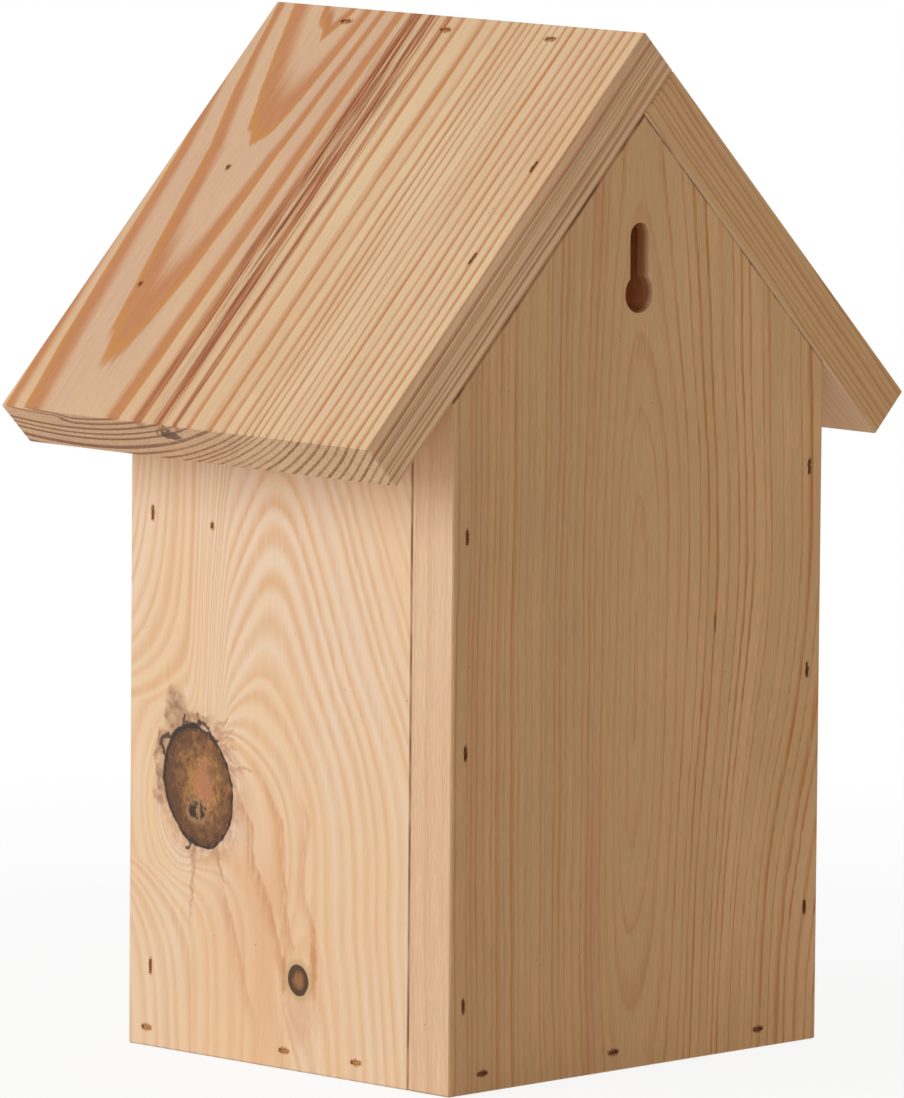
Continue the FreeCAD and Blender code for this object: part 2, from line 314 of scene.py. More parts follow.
def make_pine_group():
    """Pale early wood and darker late wood from a ring count, with fibres, dashes and specks."""
    n, given, out = new_group("Pine", {
        "Place": "vector", "Rings": "value", "Early": "colour", "Late": "colour", "Rim": "colour",
        "Tint": "colour", "Late start": "value", "Late full": "value", "Late end": "value",
        "Contrast": "value", "Uneven": "value", "Variety": "value", "Comb": "value", "Fibre": "value",
        "End": "value"},
        {"Colour": "colour", "Roughness": "value", "Height": "value"})
    place, end = given["Place"], given["End"]
    comb = n.stray(place, (0.8, 0.8, 24), 2.0)
    rings = n.mad(comb, given["Comb"], given["Rings"])
    growth = n.add("ShaderNodeTexNoise", {
        "W": n.times(rings, 0.55), "Scale": 1.0, "Detail": 1.0}, noise_dimensions="1D").outputs["Fac"]
    rings = n.mad(growth, given["Uneven"], rings)
    share = n.math("FRACT", rings)
    year = n.add("ShaderNodeTexWhiteNoise", {"W": n.math("FLOOR", rings)}, noise_dimensions="1D")
    first, second, third = n.split(year.outputs["Color"])
    begin = n.mad(first, 0.24, given["Late start"])
    begin = n.least(n.mad(end, 0.14, begin), n.minus(given["Late full"], 0.06))
    rise = n.smooth(share, begin, given["Late full"])
    fall = n.smooth(share, given["Late end"], 1.0, 1.0, 0.0)
    strength = n.minus(1.0, n.times(second, given["Variety"]))
    faint = n.smooth(n.noise(place, (2.4, 2.4, 55), 2.0), 0.3, 0.6, 0.75, 0.0)
    strength = n.times(strength, n.minus(1.0, n.times(faint, given["Variety"])))
    ring = n.times(rise, fall, strength)
    late = n.times(ring, given["Contrast"])
    cloud = n.mad(third, 0.2, n.noise(place, (34, 34, 110), 2.0))
    early = n.blend(n.smooth(cloud, 0.42, 0.78), given["Early"], given["Tint"])
    colour = n.blend(late, early, given["Late"])
    rim = n.times(n.smooth(share, 0.8, 0.94, 0.0, 0.8), late)
    colour = n.blend(rim, colour, given["Rim"])
    strand = n.noise(place, (0.42, 0.42, 17), 3.0, 0.6)
    thread = n.noise(place, (0.16, 0.16, 5.0), 2.0, 0.6)
    hair = n.minus(n.mad(thread, 0.5, n.times(strand, 0.5)), 0.5)
    shade = n.mad(hair, given["Fibre"], 1.0)
    dash = n.smooth(n.cells(place, (0.8, 0.8, 0.09))["Distance"], 0.04, 0.15, 1.0, 0.0)
    dash = n.times(dash, n.smooth(n.noise(place, (7, 7, 30), 1.0), 0.48, 0.64))
    shade = n.mad(dash, -0.13, shade)
    spot = n.cells(place, (0.12, 0.12, 0.12))
    speck = n.times(n.smooth(spot["Distance"], 0.02, 0.05, 1.0, 0.0),
                    n.math("GREATER_THAN", n.split(spot["Color"])[0], 0.5))
    shade = n.mad(speck, -0.4, shade)
    grit = n.noise(place, (0.5, 0.5, 2.5), 3.0, 0.75)
    sawn_early = n.blend(n.smooth(grit, 0.36, 0.64), srgb(222, 214, 210), srgb(255, 250, 248))
    sawn = n.stain(early, n.blend(ring, sawn_early, srgb(158, 122, 104)))
    n.feed(out["Colour"], n.tone(n.blend(end, colour, sawn), shade))
    n.feed(out["Roughness"], n.mad(late, -0.1, n.mad(hair, 0.3, 0.64)))
    rough = n.times(grit, end, 1.6)
    n.feed(out["Height"], n.plus(n.mad(late, 0.12, hair), rough))


def make_mark_group():
    """0 at the middle of an upright ellipse on a board's face, and 1 on its rim."""
    n, given, out = new_group("Mark", {
        "Place": "vector", "Across": "value", "Along": "value", "Half width": "value",
        "Half height": "value"}, {"Ratio": "value"})
    x, _, z = n.split(given["Place"])
    a = n.over(n.minus(x, given["Across"]), given["Half width"])
    b = n.over(n.minus(z, given["Along"]), given["Half height"])
    n.feed(out["Ratio"], n.hypot(a, b))


def make_knot_group():
    """A knot's own measure: 0 at its middle, 1 at its rim, and the place within it."""
    n, given, out = new_group("Knot", {
        "Place": "vector", "Across": "value", "Along": "value", "Half width": "value",
        "Half height": "value", "Lean": "value", "Rough": "value"},
        {"Ratio": "value", "Side": "value", "Rise": "value"})
    x, _, z = n.split(given["Place"])
    dx = n.minus(x, given["Across"])
    dz = n.minus(z, given["Along"])
    lean = n.math("RADIANS", given["Lean"])
    cosine = n.math("COSINE", lean)
    sine = n.math("SINE", lean)
    side = n.mad(dx, cosine, n.times(dz, sine))
    rise = n.minus(n.times(dz, cosine), n.times(dx, sine))
    ratio = n.hypot(n.over(side, given["Half width"]), n.over(rise, given["Half height"]))
    edge = n.stray(given["Place"], (5, 5, 6), 3.0)
    n.feed(out["Ratio"], n.mad(edge, given["Rough"], ratio))
    n.feed(out["Side"], side)
    n.feed(out["Rise"], rise)


def make_stroke_group():
    """How far a point of a board's face lies from a straight line, and how far along that line it is."""
    n, given, out = new_group("Stroke", {"Place": "vector", "From": "vector", "To": "vector"},
                              {"Distance": "value", "Share": "value"})
    run = n.vector("SUBTRACT", given["To"], given["From"])
    gone = n.vector("MULTIPLY", n.vector("SUBTRACT", given["Place"], given["From"]), (1.0, 0.0, 1.0))
    share = n.over(n.vector("DOT_PRODUCT", gone, run), n.vector("DOT_PRODUCT", run, run))
    share = n.least(n.most(share, 0.0), 1.0)
    beside = n.vector("SUBTRACT", gone, n.vector("MULTIPLY", run, n.join(share, share, share)))
    n.feed(out["Distance"], n.vector("LENGTH", beside))
    n.feed(out["Share"], share)


GROUPS = {
    "Wander": make_wander_group, "Growth rings": make_ring_group, "Pine": make_pine_group,
    "Mark": make_mark_group, "Knot": make_knot_group, "Stroke": make_stroke_group}


def make_material(name):
    """A new material that has only a Principled shader, with its filler and the shader."""
    for group, make_group in GROUPS.items():
        if group not in bpy.data.node_groups:
            make_group()
    material = bpy.data.materials.new(name)
    material.use_nodes = True
    nodes = Nodes(material.node_tree)
    shader = next(node for node in material.node_tree.nodes if node.type == "BSDF_PRINCIPLED")
    shader.inputs["Specular IOR Level"].default_value = 0.32
    return material, nodes, shader


class Board:
    """A board's own axes: across the grain, down from its face, and along the grain."""

    def __init__(self, origin, across, depth, along):
        self.origin = Vector(origin)
        self.axes = tuple(Vector(axis) for axis in (across, depth, along))

    def place(self, n):
        """The shaded point's place in the board, in millimetres."""
        moved = n.vector("SUBTRACT", n.here(), tuple(self.origin))
        return n.join(*(n.vector("DOT_PRODUCT", moved, tuple(axis / MM)) for axis in self.axes))

    def facing(self, n, axis):
        """1 on faces square to one of the board's axes (0, 1 or 2), 0 on the others."""
        return n.square_to(tuple(self.axes[axis]), 0.55, 0.9)

    def crowns(self, *groups):
        """Middle and half sizes of each staple or brad that is driven into the board's face."""
        found = []
        for group in groups:
            for island in islands(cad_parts[group]):
                places = [Vector([(p - self.origin).dot(axis) / MM for axis in self.axes]) for p in island]
                top = min(p.y for p in places)
                if 0.0 < top < 4.0:     # driven in from this face
                    across, along = zip(*((p.x, p.z) for p in places if p.y < top + 0.1))
                    found.append(((min(across) + max(across)) / 2, (min(along) + max(along)) / 2,
                                  (max(across) - min(across)) / 2, (max(along) - min(along)) / 2))
        return found

    def bruised(self, n, place, colour, bruise_and_shade, *groups):
        """The colour with brown, torn wood round each staple and brad; on the back board a darker colour
        adds painted shade.
        """
        nearest = n.least(*(
            n.mark(place, across, along, half_width + 0.35, half_height + 0.7)
            for across, along, half_width, half_height in self.crowns(*groups)))
        torn = n.stray(place, (0.5, 0.5, 1.6), 3.0, 0.7)
        return n.paint(colour, n.mad(torn, 2.4, nearest), (0.7, 1.1, 0.92), bruise_and_shade)


def islands(node):
    """The points of each separate solid in a CAD node."""
    shape = bmesh.new()
    shape.from_mesh(node.data)
    bmesh.ops.remove_doubles(shape, verts=shape.verts[:], dist=1e-6)
    found = []
    left = set(shape.verts)
    while left:
        island = []
        edge = [left.pop()]
        while edge:
            vert = edge.pop()
            island.append(vert.co.copy())
            for link in vert.link_edges:
                other = link.other_vert(vert)
                if other in left:
                    left.discard(other)
                    edge.append(other)
        found.append(island)
    shape.free()
    return sorted(found, key=lambda island: tuple(min(island, key=tuple)))


def relief(n, shader, height, depth):
    """Gives a shader's surface a shallow relief."""
    bump = n.add("ShaderNodeBump", {"Strength": 0.5, "Distance": depth, "Height": height})
    n.feed(shader.inputs["Normal"], bump.outputs[0])


def put_on(node, material):
    """Gives a CAD node the material."""
    node.data.materials.clear()
    node.data.materials.append(material)


def finish_wood(name, material, n, shader, pine, colour):
    """Joins the pine to the shader, and gives a CAD node the material."""
    n.feed(shader.inputs["Base Color"], colour)
    n.feed(shader.inputs["Roughness"], pine["Roughness"])
    relief(n, shader, pine["Height"], WOOD_RELIEF)
    put_on(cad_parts[name], material)


class WoodSettings(bpy.types.PropertyGroup):
    """Colours of the boards."""
    wall_early: bpy.props.FloatVectorProperty(
        name="Wall early wood", description="Pale part of a ring on the walls",
        **COLOUR, default=srgb(240, 212, 182))
    wall_late: bpy.props.FloatVectorProperty(
        name="Wall late wood", description="Darker part of a ring on the walls",
        **COLOUR, default=srgb(228, 178, 131))
    roof_early: bpy.props.FloatVectorProperty(
        name="Roof early wood", description="Pale part of a ring on the roof",
        **COLOUR, default=srgb(228, 189, 147))
    roof_late: bpy.props.FloatVectorProperty(
        name="Roof late wood", description="Darker part of a ring on the roof",
        **COLOUR, default=srgb(198, 128, 76))
    # The back board's face colours are browner wood with a painted warm shade; its edges are the same
    # wood, lit
    shaded_back_early: bpy.props.FloatVectorProperty(
        name="Back early wood", description="Pale part of a ring on the back board",
        **COLOUR, default=srgb(214, 167, 117))
    shaded_back_late: bpy.props.FloatVectorProperty(
        name="Back late wood", description="Darker part of a ring on the back board",
        **COLOUR, default=srgb(190, 114, 46))


class CaneSettings(bpy.types.PropertyGroup):
    """Sizes and colours of the bamboo canes and the wire."""
    mouth_ease: bpy.props.FloatProperty(
        name="Mouth ease", description="Rounding of a cane's sawn end", subtype="DISTANCE",
        unit="LENGTH", default=0.0006, min=0.0001, max=0.002)
    cane_skin: bpy.props.FloatVectorProperty(
        name="Cane skin", description="Outside of the canes",
        **COLOUR, default=srgb(228, 186, 122))
    cane_flesh: bpy.props.FloatVectorProperty(
        name="Cane flesh", description="Sawn ends of the canes",
        **COLOUR, default=srgb(238, 208, 158))
    # The wire is a golden coat lightened with painted light; the back board's copy is darkened with
    # painted shade
    wire: bpy.props.FloatVectorProperty(
        name="Wire", description="Coated wire of the staples and brads",
        **COLOUR, default=srgb(226, 168, 104))
    shaded_back_wire: bpy.props.FloatVectorProperty(
        name="Shaded back wire", description="Darker wire of the staples in the back board",
        **COLOUR, default=srgb(148, 86, 40))


class StageSettings(bpy.types.PropertyGroup):
    """Light and floor."""
    key_power: bpy.props.FloatProperty(
        name="Key light", description="Power of the soft lamp beside the house", unit="POWER",
        default=15.5, min=0)
    sky_level: bpy.props.FloatProperty(
        name="Sky level", description="Brightness of the even light all round", default=0.5, min=0)
    floor_colour: bpy.props.FloatVectorProperty(
        name="Floor", description="Colour of the floor",
        **COLOUR, default=srgb(246, 246, 246))


class BEEHOTEL_OT_roof(bpy.types.Operator):
    """Gives both roof panels flat-sawn pine with arches near the front edge"""
    bl_idname = "bee_hotel.roof"
    bl_label = "Roof panels"

    def execute(self, context):
        self.right_panel(context.scene.bee_hotel_wood)
        self.left_panel(context.scene.bee_hotel_wood)
        return {"FINISHED"}

    def board(self, side):
        low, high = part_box("right_roof_panel")
        return Board((0, low.y, high.z), (0, 1, 0), (-side * SLANT, 0, -SLANT), (side * SLANT, 0, -SLANT))

    def right_panel(self, settings):
        board = self.board(1)
        material, n, shader = make_material("right roof pine")
        place = board.place(n)
        end = board.facing(n, 2)
        rear = n.smooth(n.split(place)[0], 48.0, 85.0)
        full = n.smooth(rear, 0.0, 1.0, 0.68, 0.88)
        full = n.mad(n.times(rear, end), -0.18, full)
        pine = n.group("Pine", {
            "Place": place, "Rings": self.rings(n, place), "Early": settings.roof_early,
            "Late": settings.roof_late, "Rim": srgb(208, 142, 66),
            "Tint": n.blend(rear, srgb(220, 180, 146), srgb(235, 202, 160)),
            "Late start": n.smooth(rear, 0.0, 1.0, 0.2, 0.36), "Late full": full,
            "Late end": 0.93, "Contrast": 1.0, "Uneven": 0.0,
            "Variety": n.smooth(rear, 0.0, 1.0, 0.12, 0.4),
            "Comb": n.smooth(rear, 0.0, 1.0, 0.07, 0.2), "Fibre": 0.55, "End": end})
        colour = self.streaks(n, place, pine["Colour"])
        colour = self.resin(n, place, colour)
        lines = n.smooth(n.noise(place, (30.0, 0.8, 120.0), 2.0), 0.5, 0.6, 0.0, 0.8)
        edge = n.blend(lines, n.stain(colour, srgb(254, 246, 242)),
                       n.stain(colour, srgb(212, 196, 184)))
        colour = n.blend(board.facing(n, 0), colour, edge)
        colour = board.bruised(n, place, colour, srgb(166, 108, 64), "ridge_staples",
                               "roof_back_staples", "roof_front_brads")
        finish_wood("right_roof_panel", material, n, shader, pine, colour)

    def rings(self, n, place):
        """Ring count: nested V shapes near the front edge, then lines straight down the panel."""
        x, _, z = n.split(n.wander(place, 2.0, 8.0, 0.8))
        y = n.most(n.split(place)[1], 0.0)
        middle, heart = 26.0, 135.0     # the heart's line: across the panel, and above its face
        reach, length, most = 180.0, 175.0, 150.0   # the curves' ends: across, down, and the level
        # A level rises from the middle out; rings end at the tips' levels, and then at every step
        tips, step = (0.0, 1.3, 5.6, 9.3, 14.9), 4.0
        # Places across the panel at the ridge, each with its level
        front = [(0.0, 9.9), (1.0, 9.3), (7.5, 5.7), (10.3, 4.8), (15.8, 3.0), (18.5, 2.2), (25.0, 0.7),
                 (26.0, 0.6)]
        rear = [(26.0, 0.6), (30.0, 0.0), (35.8, 1.1), (40.0, 3.4), (43.5, 5.6), (46.0, 7.1), (49.7, 9.3),
                (58.0, 14.9)]
        # Places of the straight lines beyond them, a step apart
        lines = (64.2, 72.2, 78.7, 85.0, 94.7, 100.5, 105.8, 109.5, 112.5, 115.0, 118.7, 122.8, 125.8,
                 129.7, 133.3, 138.3, 142.5, 146.7, 150.8, 155.0, 159.0, 163.0, 166.8, 170.2, 174.0,
                 177.2, 180.2, 183.6, 186.8, 190.2, 193.6, 197.0, 200.0)
        far = [(line, tips[-1] + step * number) for number, line in enumerate(lines, 1)]
        across = n.minus(x, middle)
        deep = n.times(y, n.plus(y, 2 * heart))
        out = n.math("SQRT", n.mad(across, across, deep))
        share = n.over(out, reach)
        side = n.smooth(x, middle - 5.0, middle + 5.0)
        near_front = [((middle - at) / reach, value / most) for at, value in reversed(front)]
        near_rear = [((at - middle) / reach, value / most) for at, value in rear]
        beyond = [((at - middle) / reach, value / most) for at, value in far]
        level = self.either(n, side, n.curve(share, near_front + beyond),
                            n.curve(share, near_rear + beyond))
        level = n.times(level, most)
        # The V shapes lean over down the panel, and the straight lines don't
        down = n.curve(n.over(z, length), [
            (0.0, 0.0), (62 / length, 0.56), (155 / length, 0.93), (1.0, 1.0)])
        lean_front = n.curve(share, [(at / reach, value) for at, value in (
            (0.0, 1.0), (26.0, 1.0), (34.0, 0.4), (42.0, 0.0), (180.0, 0.0))])
        lean_rear = n.curve(share, [(at / reach, value) for at, value in (
            (0.0, 1.0), (4.0, 1.0), (9.8, 0.9), (14.0, 0.71), (17.5, 0.53), (23.7, 0.4), (27.7, 0.3),
            (32.0, 0.15), (38.0, 0.03), (49.0, 0.0), (180.0, 0.0))])
        lean = n.times(self.either(n, side, lean_front, lean_rear), 10.0)
        level = n.mad(down, lean, level)
        edges = [*tips, *(tips[-1] + step * number for number in range(1, 36))]
        count = len(edges) - 1
        line = [(edge / edges[-1], number / count) for number, edge in enumerate(edges)]
        return n.times(n.curve(n.over(level, edges[-1]), line), count)

    def either(self, n, factor, first, second):
        """The first value where the factor is 0, the second where it is 1."""
        return n.mad(factor, n.minus(second, first), first)

    def streaks(self, n, place, colour):
        """Dark brown fibres in five narrow stripes down the panel, and broken hairs between them."""
        x, y, z = n.split(place)
        shallow = n.smooth(y, 5.0, 0.5)
        fibre = n.noise(place, (1.0, 2.0, 54), 3.0, 0.62)
        for low, high, soft, start, stop, depth in (
                (61.0, 66.6, 1.0, -60.0, 66.0, 1.0), (59.6, 64.0, 0.9, 50.0, 190.0, 0.7),
                (65.8, 69.4, 0.8, 44.0, 140.0, 1.0), (68.6, 73.4, 1.0, -60.0, 190.0, 0.9),
                (76.4, 79.2, 0.6, -60.0, 260.0, 0.85)):
            stripe = n.times(n.band(x, low, high, soft), n.band(z, start, stop, 26.0))
            dark = n.times(n.smooth(fibre, 0.4, 0.6, 0.1, depth), stripe, shallow)
            colour = n.blend(dark, colour, n.stain(colour, srgb(186, 130, 84)))
        hairs = n.smooth(n.noise(place, (0.55, 1.0, 26), 3.0, 0.6), 0.53, 0.64)
        hairs = n.times(hairs, n.band(x, 59.0, 74.0, 3.0), shallow, n.smooth(z, 60.0, 150.0, 1.0, 0.35))
        return n.blend(hairs, colour, n.stain(colour, srgb(176, 132, 92)))

    def resin(self, n, place, colour):
        """A dark spot of resin on the sawn lower end."""
        x, y, z = n.split(place)
        ratio = n.mark(n.join(x, 0.0, y), 72.0, 5.0, 5.0, 2.6)
        torn = n.stray(place, (1.6, 1.6, 3.0), 3.0)
        mask = n.smooth(n.mad(torn, 2.0, ratio), 0.6, 1.2, 0.85, 0.0)
        mask = n.times(mask, n.smooth(z, 146.0, 151.0))
        return n.blend(mask, colour, srgb(78, 52, 40))

    def left_panel(self, settings):
        board = self.board(-1)
        material, n, shader = make_material("left roof pine")
        place = board.place(n)
        rings = n.growth(n.wander(place, 6.0, 14.0, 1.2), 70.0, 22.0, 58.0, -0.012, 0.42)
        pine = n.group("Pine", {
            "Place": place, "Rings": rings, "Early": settings.roof_early, "Late": settings.roof_late,
            "Rim": srgb(204, 138, 74), "Tint": srgb(222, 184, 136), "Late start": 0.4, "Late full": 0.88,
            "Late end": 0.93, "Contrast": 0.85, "Uneven": 1.2, "Variety": 0.6, "Comb": 0.2, "Fibre": 0.6,
            "End": board.facing(n, 2)})
        # Painted light: the underside is lightened, standing in for light that falls on it from below
        pale = n.blend(0.5, pine["Colour"], srgb(255, 224, 190))
        colour = n.blend(n.smooth(n.split(place)[1], 16.5, 17.9), pine["Colour"], pale)
        colour = n.blend(board.facing(n, 0), colour, n.stain(colour, srgb(244, 230, 212)))
        colour = board.bruised(n, place, colour, srgb(166, 108, 64), "roof_back_staples",
                               "roof_front_brads")
        finish_wood("left_roof_panel", material, n, shader, pine, colour)


class BEEHOTEL_OT_walls(bpy.types.Operator):
    """Gives the side walls pale pine; the right one has a large and a small knot"""
    bl_idname = "bee_hotel.walls"
    bl_label = "Side walls"

    def execute(self, context):
        self.knotted_wall(context.scene.bee_hotel_wood)
        self.plain_wall(context.scene.bee_hotel_wood)
        return {"FINISHED"}

    def pine(self, n, settings, place, rings, contrast, end):
        return n.group("Pine", {
            "Place": place, "Rings": rings, "Early": settings.wall_early, "Late": settings.wall_late,
            "Rim": settings.wall_late, "Tint": srgb(241, 204, 163), "Late start": 0.02, "Late full": 0.5,
            "Late end": 0.5, "Contrast": contrast, "Uneven": 1.2, "Variety": 0.45, "Comb": 0.05,
            "Fibre": 0.36, "End": end})

    def fixings(self, board, n, place, colour):
        return board.bruised(n, place, colour, srgb(186, 126, 78), "wall_floor_staples",
                             "front_bearer_staples", "block_wall_staples", "block_brads")

    def plain_wall(self, settings):
        low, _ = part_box("left_wall")
        board = Board((low.x, low.y, 0), (0, 1, 0), (1, 0, 0), (0, 0, 1))
        material, n, shader = make_material("left wall pine")
        place = board.place(n)
        rings = n.growth(n.wander(place, 8.0, 14.0, 1.6), 48.0, 3.4, 16.0, -0.03, 0.22)
        pine = self.pine(n, settings, place, rings, 0.9, board.facing(n, 2))
        colour = self.fixings(board, n, place, pine["Colour"])
        finish_wood("left_wall", material, n, shader, pine, colour)

    def knotted_wall(self, settings):
        low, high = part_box("right_wall")
        board = Board((high.x, low.y, 0), (0, 1, 0), (-1, 0, 0), (0, 0, 1))
        material, n, shader = make_material("right wall pine")
        place = board.place(n)
        # A calm, rosy patch low down, and fainter rings round the edge of the arches
        calm = n.mark(place, 56.0, 46.0, 24.0, 46.0)
        arches = n.mark(place, 62.0, 140.0, 62.0, 62.0)
        contrast = n.times(n.smooth(calm, 0.5, 1.3, 0.75, 1.0), n.smooth(arches, 0.4, 1.2, 1.0, 0.75))
        rings = self.rings_past_knots(n, place)
        pine = self.pine(n, settings, place, rings, contrast, board.facing(n, 2))
        rosy = n.smooth(calm, 0.3, 1.2, 0.55, 0.0)
        colour = n.blend(rosy, pine["Colour"], n.stain(pine["Colour"], srgb(250, 238, 236)))
        colour = self.flames(n, place, colour)
        colour = self.large_knot(n, place, colour)
        colour = self.small_knot(n, place, colour)
        colour = self.fixings(board, n, place, colour)
        rear = (high.y - low.y) / MM
        # Painted shade in the joint against the back board
        joint_shade = n.smooth(n.split(place)[0], rear - 0.7, rear - 0.2, 0.0, 0.85)
        joint_shade = n.times(joint_shade, n.broken(place, 20.0, 0.4))
        colour = n.blend(joint_shade, colour, srgb(138, 84, 50))
        finish_wood("right_wall", material, n, shader, pine, colour)

    def rings_past_knots(self, n, place):
        """Ring count on the wall: arches that fan out of the large knot and part round the small one."""
        moved = n.wander(place, 4.0, 8.0, 1.6)
        x, y, z = n.split(moved)
        # The arches spread from a point at the large knot's upper rim
        fan_x, fan_z, reach = 39.0, 101.0, 30.0
        dx = n.minus(x, fan_x)
        dz = n.minus(z, fan_z)
        far = n.mad(dx, dx, n.times(dz, dz))
        spread = n.math("SQRT", n.plus(1.0, n.over(reach * reach, n.plus(far, 0.5))))
        x_far = n.mad(dx, spread, fan_x)
        z_far = n.times(dz, spread)
        climb = n.smooth(dz, -60.0, 30.0, 0.012, 0.085)
        rings = n.mad(z_far, climb, n.times(n.bow(x_far, 66.0, 14.0), 2.9))
        # The strip in front of the large knot has rings of its own, above and below it
        side = n.times(n.beyond(28.0, x), 0.0385)
        above = n.minus(1.0, n.math("EXPONENT", n.over(n.beyond(z, 110.0), -40.0)))
        below = n.minus(1.0, n.math("EXPONENT", n.over(n.beyond(60.0, z), -13.0)))
        front = n.mad(n.times(side, n.mad(above, 1.6, below)), 5.0, 18.0)
        past = n.smooth(x, n.smooth(z, 75.0, 95.0, 28.2, 26.0), n.smooth(z, 75.0, 95.0, 28.8, 45.0))
        rings = n.mad(past, n.minus(rings, front), front)
        # Each knot pushes the rings about it aside, less and less from its limit out
        for ellipse, limit, fall, count in (
                ((25.5, 80.3, 15.0, 23.0), 0.6, -1.79, -8.0), ((76.2, 29.0, 4.6, 11.0), 1.0, -1.25, 1.5)):
            away = n.beyond(n.mark(moved, *ellipse), limit)
            rings = n.mad(n.math("EXPONENT", n.times(away, fall)), count, rings)
        return n.mad(y, 0.16, rings)

    def knot_body(self, n, place, knot):
        """Colour of a sawn branch: an orange heart, olive brown wood and fine rays."""
        ratio = knot["Ratio"]
        cloud = n.noise(place, (3.4, 3.4, 4.4), 4.0, 0.62)
        angle = n.mad(cloud, 1.3, n.math("ARCTAN2", knot["Rise"], knot["Side"]))
        round_place = n.join(n.times(n.math("COSINE", angle), 14.0),
                             n.times(n.math("SINE", angle), 14.0), n.times(ratio, 5.0))
        rays = n.noise(round_place, (1.0, 1.0, 1.0), 4.0, 0.65)
        patchy = n.mad(n.minus(cloud, 0.5), 2.0, ratio)
        patchy = n.mad(knot["Side"], -0.014, patchy)
        body = n.ramp(patchy, (
            (0.0, srgb(190, 124, 78)), (0.22, srgb(178, 126, 70)), (0.42, srgb(156, 110, 62)),
            (0.64, srgb(132, 88, 52)), (0.92, srgb(102, 66, 38))))
        years = n.math("SINE", n.mad(cloud, 9.0, n.times(ratio, 62.0)))
        light = n.mad(years, 0.08, n.smooth(rays, 0.36, 0.64, 0.76, 1.22))
        return n.tone(body, light)

    def large_knot(self, n, place, colour):
        """The large knot: its heart and pit, its rim, the bark above it, creases and cracks."""
        knot = n.group("Knot", {"Place": place, "Across": 31.3, "Along": 85.3, "Half width": 14.8,
                                "Half height": 19.6, "Lean": 18.0, "Rough": 0.16})
        ratio = knot["Ratio"]
        mottle = n.noise(place, (2.2, 2.2, 3.0), 4.0, 0.6)
        # A mottled halo, then bark in a collar over the knot with a tail above it
        halo = n.times(n.smooth(ratio, 0.98, 1.5, 0.75, 0.0), n.smooth(mottle, 0.3, 0.65))
        colour = n.blend(halo, colour, srgb(196, 148, 116))
        torn = n.stray(place, (5.0, 5.0, 6.0), 1.5, 0.5)
        upward = n.mad(knot["Rise"], 0.8, n.times(knot["Side"], -0.6))
        collar = n.times(n.smooth(n.mad(torn, 0.6, ratio), 1.2, 1.32, 0.95, 0.0),
                         n.smooth(upward, 6.0, 13.0))
        tail = n.mark(place, 21.0, 107.0, 5.8, 12.0)
        tail = n.smooth(n.mad(torn, 0.9, tail), 0.6, 1.0, 0.85, 0.0)
        cloudy = n.noise(place, (3.2, 3.2, 3.6), 4.0, 0.62)
        bark = n.ramp(cloudy, (
            (0.36, srgb(146, 106, 76)), (0.48, srgb(184, 142, 108)), (0.6, srgb(210, 168, 132))))
        colour = n.blend(n.most(collar, tail), colour, bark)
        creases = (
            ((39.0, 104.3), (44.0, 108.6)), ((39.9, 103.2), (46.4, 104.6)), ((40.4, 101.4), (46.9, 102.5)),
            ((41.2, 99.6), (48.4, 99.0)), ((42.9, 97.5), (48.0, 94.3)), ((45.0, 92.4), (55.0, 92.9)),
            ((38.9, 66.0), (43.2, 56.0)), ((29.4, 68.0), (28.0, 43.0)))
        colour = self.strokes(n, place, colour, creases, 1.6, 0.7, (0.0, 1.25, 0.5), srgb(182, 126, 86))
        inside = self.knot_body(n, place, knot)
        heart = n.mark(place, 33.6, 87.0, 5.0, 9.0)
        inside = n.paint(inside, heart, (0.3, 1.15, 0.6), srgb(186, 122, 90))
        ragged = n.stray(place, (2.6, 2.6, 3.4), 3.0, 0.55)
        # A pit in two halves, with a bridge of wood between them; the pit's dark middle is painted shade
        pit = n.mad(ragged, 2.2, n.mark(place, 30.7, 77.6, 4.0, 3.8))
        inside = n.paint(inside, pit, (0.9, 1.4, 0.6), srgb(178, 138, 96))
        bridge = n.math("ABSOLUTE", n.mad(ragged, 4.0, n.minus(n.split(place)[0], 31.2)))
        pit_shade = n.times(n.smooth(pit, 0.62, 0.98, 0.95, 0.0), n.smooth(bridge, 0.1, 0.9))
        inside = n.blend(pit_shade, inside, srgb(46, 28, 19))
        colour = n.paint(colour, ratio, (0.985, 1.015, 1.0), inside)
        rim = n.smooth(ratio, n.smooth(mottle, 0.35, 0.65, 0.985, 0.87), 0.99)
        inner, outer = (n.smooth(upward, 4.0, 16.0, limit, limit + 0.03) for limit in (1.0, 1.03))
        rim = n.times(rim, n.smooth(ratio, inner, outer, 1.0, 0.0), n.smooth(mottle, 0.3, 0.45, 0.5, 0.95))
        colour = n.blend(rim, colour, srgb(46, 32, 25))
        cracks = (
            ((24.6, 107.2), (24.6, 104.0)), ((24.6, 104.0), (18.4, 100.2)), ((18.4, 100.2), (14.9, 99.7)),
            ((14.9, 99.7), (14.2, 97.1)), ((14.2, 97.1), (16.6, 94.0)), ((24.6, 104.0), (30.5, 105.8)),
            ((30.5, 105.8), (35.2, 103.9)), ((35.2, 103.9), (39.0, 100.4)), ((28.2, 68.1), (26.3, 65.4)))
        return self.strokes(n, place, colour, cracks, 0.85, 0.0, (0.3, 1.1, 0.88), srgb(56, 38, 29))

